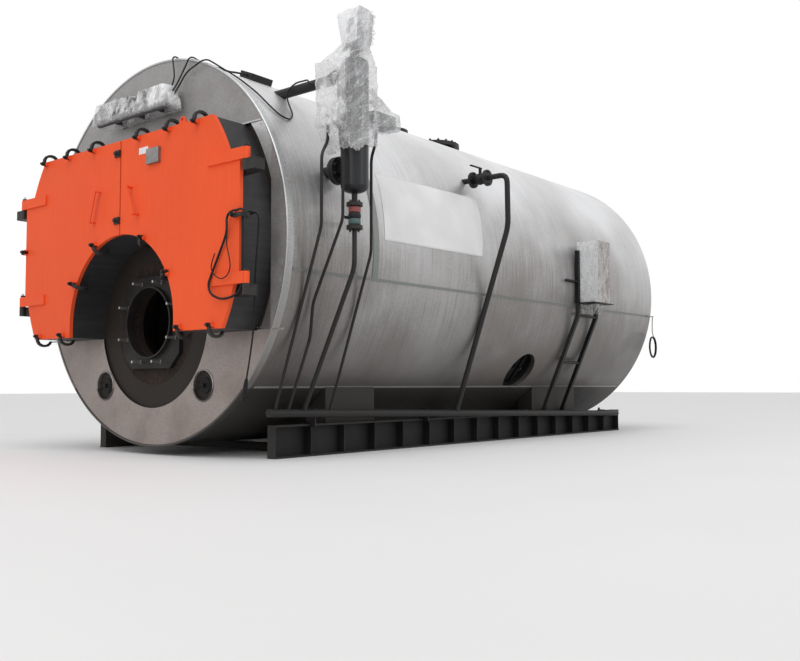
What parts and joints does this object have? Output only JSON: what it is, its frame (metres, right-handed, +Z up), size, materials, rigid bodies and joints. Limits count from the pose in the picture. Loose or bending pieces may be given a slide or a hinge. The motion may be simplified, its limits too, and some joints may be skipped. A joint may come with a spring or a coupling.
{
  "type": "industrial boiler",
  "caption": "Horizontal fire-tube steam boiler with insulated jacket, hinged smokebox doors, burner seat, level column and drain pipes on a channel base.",
  "frame": {"origin": "underside of the middle base cross member, halfway along the jacket and on the centre plane, at ground level", "axes": "+Y from the burner front to the rear along the shell, +X to the right when facing the front's rear direction (towards the level column), +Z up"},
  "size_m": [3.308, 6.7175, 3.22],
  "materials": {
    "cladding": "satin mill-finish sheet, lightly rippled",
    "cladding_trim": "folded sheet strip, riveted",
    "front_cladding": "galvanised sheet, dusty",
    "boiler_steel": "primer over mill scale",
    "tube_steel": "mill scale with light rust",
    "refractory": "cast refractory",
    "burner_seat": "dark primer, dusty",
    "stud_steel": "plain studs",
    "black_fittings": "black paint on forged parts",
    "smokebox_paint": "charcoal satin paint",
    "door_orange": "orange gloss paint",
    "plate_metal": "bare grey plate",
    "black_paint": "black satin paint",
    "grey_controls": "grey enamel housings",
    "stretch_film": "clear stretch film, crinkled",
    "wrapped_box": "light grey box under clear film",
    "cord_rubber": "black cable sheath",
    "beam_paint": "dark grey primer"
  },
  "bodies": {
    "boiler": {"jacket": "cladding", "jacket_straps": "cladding_trim", "front_ring": "cladding_trim", "front_sheet_upper": "front_cladding", "front_sheet_lower": "front_cladding", "pressure_shell": "boiler_steel", "tube_plates": "boiler_steel", "smoke_tubes": "tube_steel", "furnace_tube": "tube_steel", "throat_quarl": "refractory", "burner_plate": "burner_seat", "throat_collar": "burner_seat", "burner_studs": "stud_steel", "handhole_covers": "black_fittings", "smokebox": "smokebox_paint", "left_hinge_brackets": "black_fittings", "right_hinge_brackets": "black_fittings", "level_column": "black_paint", "water_branch": "black_paint", "steam_branch": "black_paint", "level_controls": "grey_controls", "column_film": "stretch_film", "column_drain_valve": "black_fittings", "drain_pipes": "black_paint", "drain_header": "black_paint", "side_valve": "black_fittings", "side_valve_pipe": "black_paint", "side_box": "wrapped_box", "side_box_bracket": "black_paint", "side_manhole": "black_paint", "gauge_manifold": "grey_controls", "manifold_film": "stretch_film", "gauge_cable_left": "cord_rubber", "gauge_cable_middle": "cord_rubber", "gauge_cable_right": "cord_rubber", "hanging_lead": "cord_rubber", "lead_plug": "black_fittings", "rear_coil": "cord_rubber", "rear_coil_tail": "cord_rubber", "steam_outlet": "black_paint", "crown_fittings": "black_paint", "rear_sheet": "front_cladding", "rear_smokebox": "smokebox_paint", "rear_covers": "smokebox_paint", "flue_outlet": "smokebox_paint", "saddles": "beam_paint", "base_beam_left": "beam_paint", "base_beam_right": "beam_paint", "base_cross_members": "beam_paint"},
    "left_door": {"left_door_panel": "door_orange", "left_door_lining": "refractory", "left_door_straps": "door_orange", "left_door_clamps": "black_fittings"},
    "right_door": {"right_door_panel": "door_orange", "right_door_lining": "refractory", "right_door_straps": "door_orange", "right_door_clamps": "black_fittings", "right_door_plate": "plate_metal", "door_cord_thick": "cord_rubber", "door_cord_thin": "cord_rubber"}
  },
  "joints": [
    {"name": "left_door_hinge", "type": "hinge", "parent": "boiler", "child": "left_door", "pos_m": [-1.412, -3.223, 2.06], "axis": [0, 0, -1], "range_deg": [0, 110]},
    {"name": "right_door_hinge", "type": "hinge", "parent": "boiler", "child": "right_door", "pos_m": [1.412, -3.223, 2.06], "axis": [0, 0, 1], "range_deg": [0, 110]}
  ]
}
